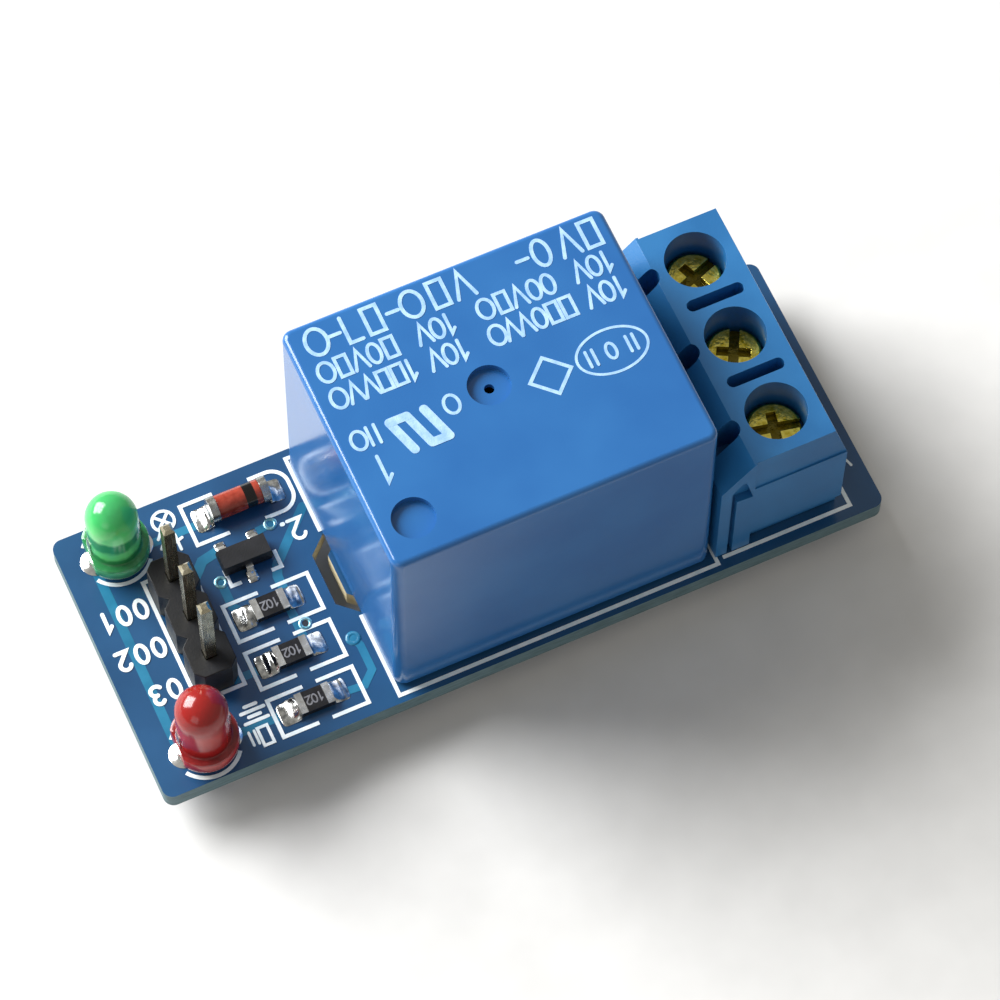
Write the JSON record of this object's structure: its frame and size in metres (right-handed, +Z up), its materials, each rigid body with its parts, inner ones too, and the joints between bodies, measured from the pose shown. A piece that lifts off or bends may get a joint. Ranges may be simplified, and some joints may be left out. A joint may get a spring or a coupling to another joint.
{
  "type": "relay module board",
  "caption": "Small circuit board with a sealed cube relay, a screw terminal block, a pin header, indicator lamps and surface-mounted drive parts.",
  "frame": {"origin": "under the middle of the circuit board, on the plane of the trimmed pin ends that the board rests on", "axes": "+X along the board from the lamps to the terminal block, +Y across the board away from the picture's near edge, +Z up through the board to the parts"},
  "size_m": [0.0434, 0.0168, 0.0185],
  "materials": {
    "board": "blue solder mask over laminate",
    "solder": "bright solder",
    "ink": "white ink",
    "case": "blue moulded case",
    "case_base": "dark blue base",
    "bobbin": "natural bobbin",
    "winding": "enamelled copper wire",
    "iron": "plated iron",
    "spring": "copper alloy strip",
    "silver": "silver contact",
    "tinned": "tinned brass",
    "terminal": "blue moulded housing",
    "screw": "yellow plated screw",
    "clamp": "plated clamp",
    "black": "black moulding",
    "pin": "plated square pin",
    "green_lens": "green diffused epoxy",
    "red_lens": "red diffused epoxy",
    "lead_frame": "plated lead",
    "diode_glass": "clear glass",
    "diode_plug": "oxide-coated plug",
    "die": "silicon die",
    "end_cap": "tinned cap",
    "chip": "black glazed ceramic chip"
  },
  "bodies": {
    "board": {"circuit_board": "board", "printed_outlines": "ink", "relay_cover": "case", "relay_base": "case_base", "relay_yoke": "iron", "common_pin": "tinned", "coil_core": "iron", "coil_bobbin": "bobbin", "coil_winding": "winding", "coil_pins": "tinned", "closed_contact_blade": "tinned", "closed_contact_button": "silver", "open_contact_blade": "tinned", "open_contact_button": "silver", "terminal_housing": "terminal", "header_pins": "pin", "header_body": "black", "green_lamp_lens": "green_lens", "green_lamp_anode": "lead_frame", "green_lamp_cathode": "lead_frame", "red_lamp_lens": "red_lens", "red_lamp_anode": "lead_frame", "red_lamp_cathode": "lead_frame", "diode_glass": "diode_glass", "diode_plugs": "diode_plug", "diode_die": "die", "diode_caps": "end_cap", "transistor_body": "black", "transistor_legs": "end_cap", "pin_solder": "solder", "surface_solder": "solder", "terminal_strip_1": "tinned", "resistor_1_chip": "chip", "resistor_1_caps": "end_cap", "terminal_strip_2": "tinned", "resistor_2_chip": "chip", "resistor_2_caps": "end_cap", "terminal_strip_3": "tinned", "resistor_3_chip": "chip", "resistor_3_caps": "end_cap"},
    "armature": {"relay_armature": "iron", "contact_spring": "spring", "moving_contact": "silver"},
    "screw_1": {"clamp_screw_1": "screw"},
    "clamp_1": {"wire_clamp_1": "clamp"},
    "screw_2": {"clamp_screw_2": "screw"},
    "clamp_2": {"wire_clamp_2": "clamp"},
    "screw_3": {"clamp_screw_3": "screw"},
    "clamp_3": {"wire_clamp_3": "clamp"}
  },
  "joints": [
    {"name": "clamp_1_rise", "type": "slide", "parent": "board", "child": "clamp_1", "axis": [0, 0, 1], "range_m": [0, 0.0017]},
    {"name": "screw_1_turn", "type": "hinge", "parent": "board", "child": "screw_1", "pos_m": [0.01595, 0.00513, 0.0102], "axis": [0, 0, -1], "range_deg": [0, 1360]},
    {"name": "clamp_2_rise", "type": "slide", "parent": "board", "child": "clamp_2", "axis": [0, 0, 1], "range_m": [0, 0.0017]},
    {"name": "screw_2_turn", "type": "hinge", "parent": "board", "child": "screw_2", "pos_m": [0.01595, 0.00005, 0.0102], "axis": [0, 0, -1], "range_deg": [0, 1360]},
    {"name": "clamp_3_rise", "type": "slide", "parent": "board", "child": "clamp_3", "axis": [0, 0, 1], "range_m": [0, 0.0017]},
    {"name": "screw_3_turn", "type": "hinge", "parent": "board", "child": "screw_3", "pos_m": [0.01595, -0.00503, 0.0102], "axis": [0, 0, -1], "range_deg": [0, 1360]},
    {"name": "armature_rock", "type": "hinge", "parent": "board", "child": "armature", "pos_m": [-0.00495, 0.00015, 0.0148], "axis": [0, 1, 0], "range_deg": [0, 2], "stiffness_Nm_per_rad": 0.02, "springref_deg": -5.73}
  ],
  "couplings": [
    {"joint": "screw_1_turn", "follows": "clamp_1_rise", "rad_per_m": 13963},
    {"joint": "screw_2_turn", "follows": "clamp_2_rise", "rad_per_m": 13963},
    {"joint": "screw_3_turn", "follows": "clamp_3_rise", "rad_per_m": 13963}
  ]
}
